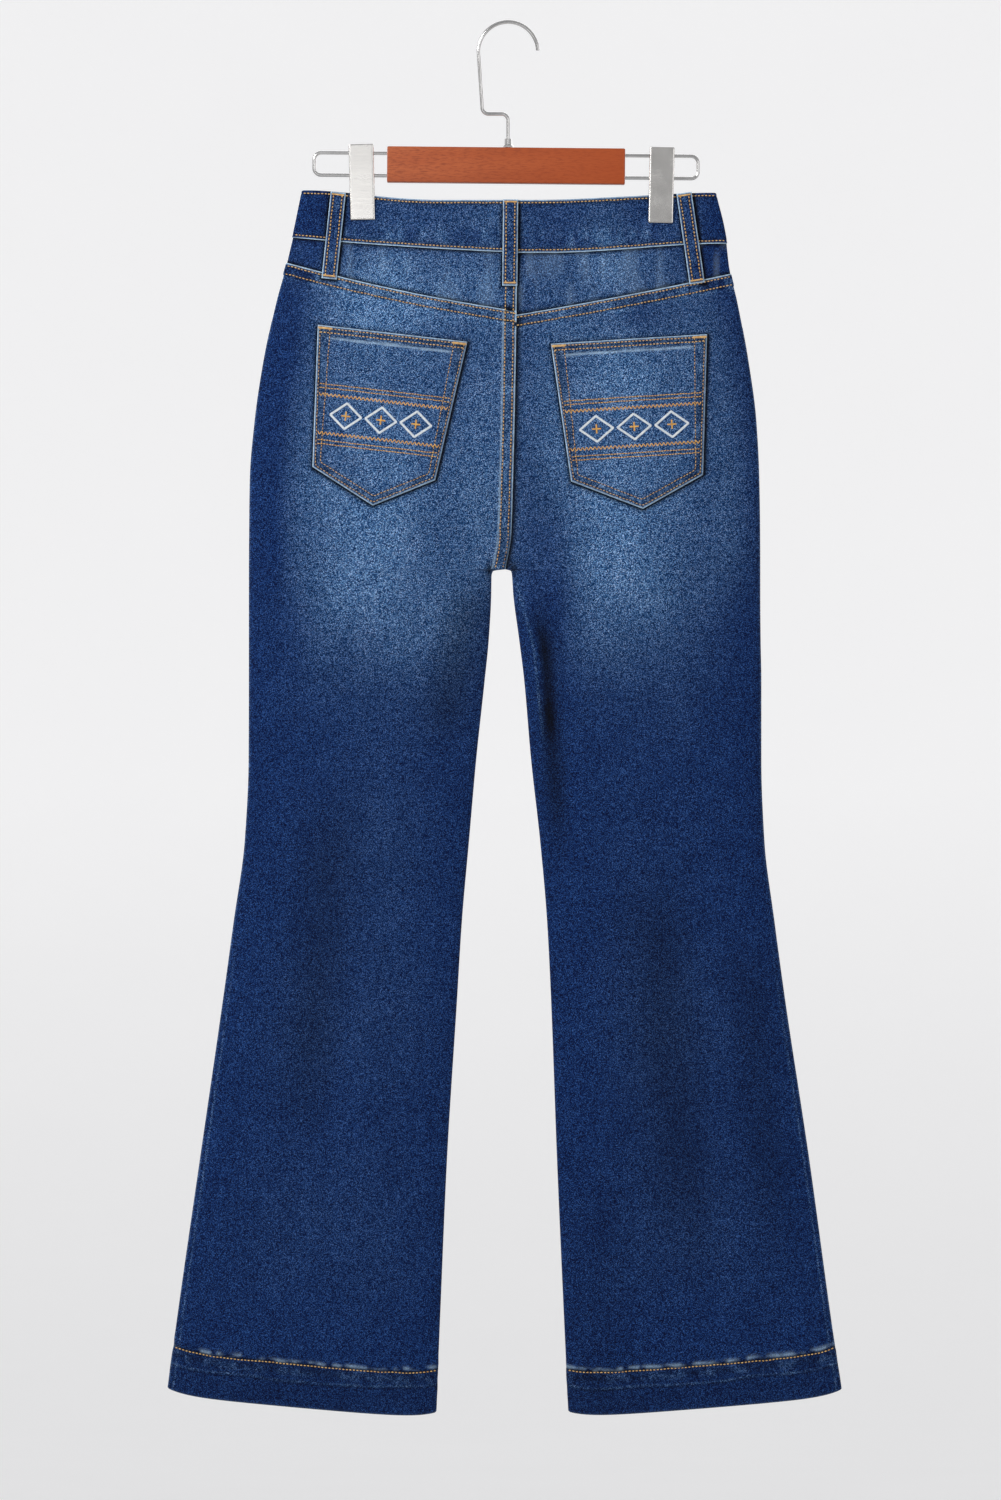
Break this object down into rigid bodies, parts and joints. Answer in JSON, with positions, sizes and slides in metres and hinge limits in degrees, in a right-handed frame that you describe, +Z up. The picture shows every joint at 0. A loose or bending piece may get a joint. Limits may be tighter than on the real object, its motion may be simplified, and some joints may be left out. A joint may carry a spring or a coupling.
{
  "type": "bootcut jeans on a clip hanger",
  "caption": "Bootcut denim jeans with pointed back pockets and wide turned-up hems, hanging flat by the waistband from a wooden clip hanger with a wire hook.",
  "frame": {"origin": "where a rail carries the hook, inside its top", "axes": "+Z up, the jeans' back faces -Y and their front +Y, the wearer's right is +X"},
  "size_m": [0.5792, 0.0389, 1.1993],
  "materials": {
    "denim": "dark indigo stretch denim, fading to mid blue over the seat and upper thighs, light on seam edges",
    "thread": "golden tan topstitching",
    "embroidery": "off-white satin stitch",
    "brass": "antique brass",
    "wood": "reddish-brown stained wood, satin lacquer",
    "nickel": "satin nickel plate",
    "steel": "polished round wire"
  },
  "bodies": {
    "root": {"back_leg_left": "denim", "back_leg_right": "denim", "front_leg_left": "denim", "front_leg_right": "denim", "yoke_left": "denim", "yoke_right": "denim", "waistband": "denim", "back_pocket_left": "denim", "back_pocket_right": "denim", "pocket_facing_left": "denim", "pocket_facing_right": "denim", "fly_lap": "denim", "fly_zip": "brass", "belt_loop_back_left": "denim", "belt_loop_back_centre": "denim", "belt_loop_back_right": "denim", "belt_loop_front_left": "denim", "belt_loop_front_right": "denim", "waist_button": "brass", "hanger_bar": "wood", "hanger_hook": "steel", "hook_collar": "steel", "hanger_wire_left": "steel", "hanger_wire_right": "steel", "clip_left_near": "nickel", "clip_left_far": "nickel", "clip_right_near": "nickel", "clip_right_far": "nickel", "clip_left_spring": "steel", "clip_right_spring": "steel"}
  },
  "joints": []
}
